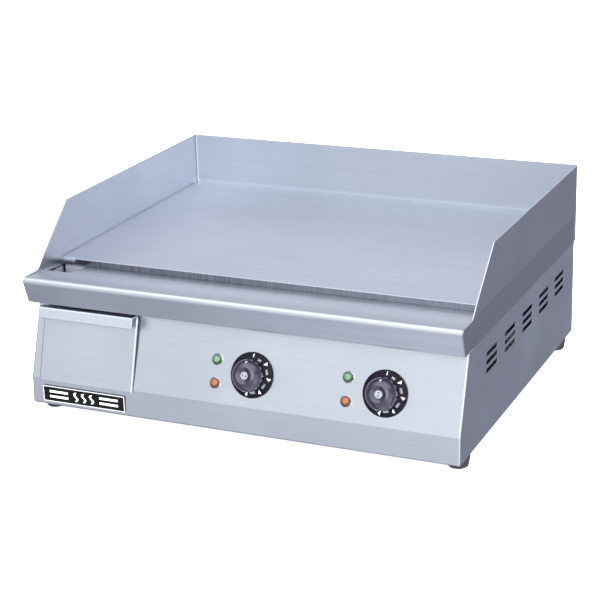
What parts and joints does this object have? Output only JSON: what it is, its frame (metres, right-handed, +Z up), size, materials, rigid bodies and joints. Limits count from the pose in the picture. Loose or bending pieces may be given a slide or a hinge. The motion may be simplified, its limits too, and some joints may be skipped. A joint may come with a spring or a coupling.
{
  "type": "flat top griddle",
  "caption": "Countertop electric flat top griddle: steel plate inside a three-sided splash guard, grease trough and drawer, slanted panel with thermostat dials, on rubber feet.",
  "frame": {"origin": "on the worktop under the middle of the whole object's box: Z = 0 is the soles of the feet", "axes": "+X across, to the cook's right; -Y towards the cook, so the control panel faces -Y; +Z up"},
  "size_m": [0.61, 0.5405, 0.265],
  "materials": {
    "badge_black": "gloss with silver border",
    "brass_bond": "bright",
    "casing_steel": "satin brushed stainless",
    "chrome_trim": "bright",
    "copper_tube": "drawn copper",
    "dial_black": "semi-gloss, printed scale",
    "drawer_steel": "satin brushed stainless",
    "element_sheath": "annealed sheath",
    "fastener_steel": "zinc plated",
    "foot_rubber": "matt",
    "gland_plastic": "moulded nylon",
    "guard_steel": "satin brushed stainless",
    "inner_sheet": "galvanised mill finish",
    "insulation": "ceramic fibre",
    "knob_black": "semi-gloss moulded",
    "lens_green": "translucent",
    "lens_orange": "translucent",
    "moulded_black": "moulded",
    "moulded_white": "glazed",
    "plate_steel": "ground and polished steel",
    "wire_cover": "heat-proof sleeve"
  },
  "bodies": {
    "griddle": {"badge_plate": "badge_black", "base_plate": "inner_sheet", "bonding_nuts": "brass_bond", "bonding_stud": "brass_bond", "bulb_clips": "fastener_steel", "capillary_left": "copper_tube", "capillary_right": "copper_tube", "casing_screws": "fastener_steel", "dial_left": "dial_black", "dial_right": "dial_black", "drain_chute": "inner_sheet", "drawer_rail_left": "inner_sheet", "drawer_rail_right": "inner_sheet", "element_clamps": "inner_sheet", "element_leads": "wire_cover", "foot_front_left": "foot_rubber", "foot_front_right": "foot_rubber", "foot_rear_left": "foot_rubber", "foot_rear_right": "foot_rubber", "foot_screws": "fastener_steel", "front_deck": "guard_steel", "front_panel": "casing_steel", "gland_body": "gland_plastic", "gland_dome_nut": "gland_plastic", "gland_locknut": "gland_plastic", "griddle_plate": "plate_steel", "heat_shield": "inner_sheet", "heating_element_left": "element_sheath", "heating_element_right": "element_sheath", "insulation_blanket": "insulation", "lamp_housings": "chrome_trim", "lamp_lens_green_left": "lens_green", "lamp_lens_green_right": "lens_green", "lamp_lens_orange_left": "lens_orange", "lamp_lens_orange_right": "lens_orange", "lamp_nuts": "fastener_steel", "plate_studs": "fastener_steel", "rear_panel": "casing_steel", "side_panel_left": "casing_steel", "side_panel_right": "casing_steel", "splash_back": "guard_steel", "splash_side_left": "guard_steel", "splash_side_right": "guard_steel", "stud_nuts": "fastener_steel", "terminal_block": "moulded_white", "thermostat_leads": "wire_cover", "thermostat_left": "moulded_black", "thermostat_right": "moulded_black", "thermostat_screws": "fastener_steel"},
    "grease_drawer": {"drawer_front": "drawer_steel", "drawer_pan": "drawer_steel", "drawer_rivets": "fastener_steel"},
    "left_control": {"knob_left": "knob_black", "knob_cap_left": "chrome_trim", "spindle_left": "fastener_steel"},
    "right_control": {"knob_right": "knob_black", "knob_cap_right": "chrome_trim", "spindle_right": "fastener_steel"}
  },
  "joints": [
    {"name": "drawer_slide", "type": "slide", "parent": "griddle", "child": "grease_drawer", "axis": [0, -1, 0], "range_m": [0, 0.2]},
    {"name": "left_thermostat_turn", "type": "hinge", "parent": "griddle", "child": "left_control", "pos_m": [0.0199, -0.24065, 0.09111], "axis": [0, 0.9477, -0.3191], "range_deg": [0, 225]},
    {"name": "right_thermostat_turn", "type": "hinge", "parent": "griddle", "child": "right_control", "pos_m": [0.2009, -0.24065, 0.09111], "axis": [0, 0.9477, -0.3191], "range_deg": [0, 225]}
  ]
}
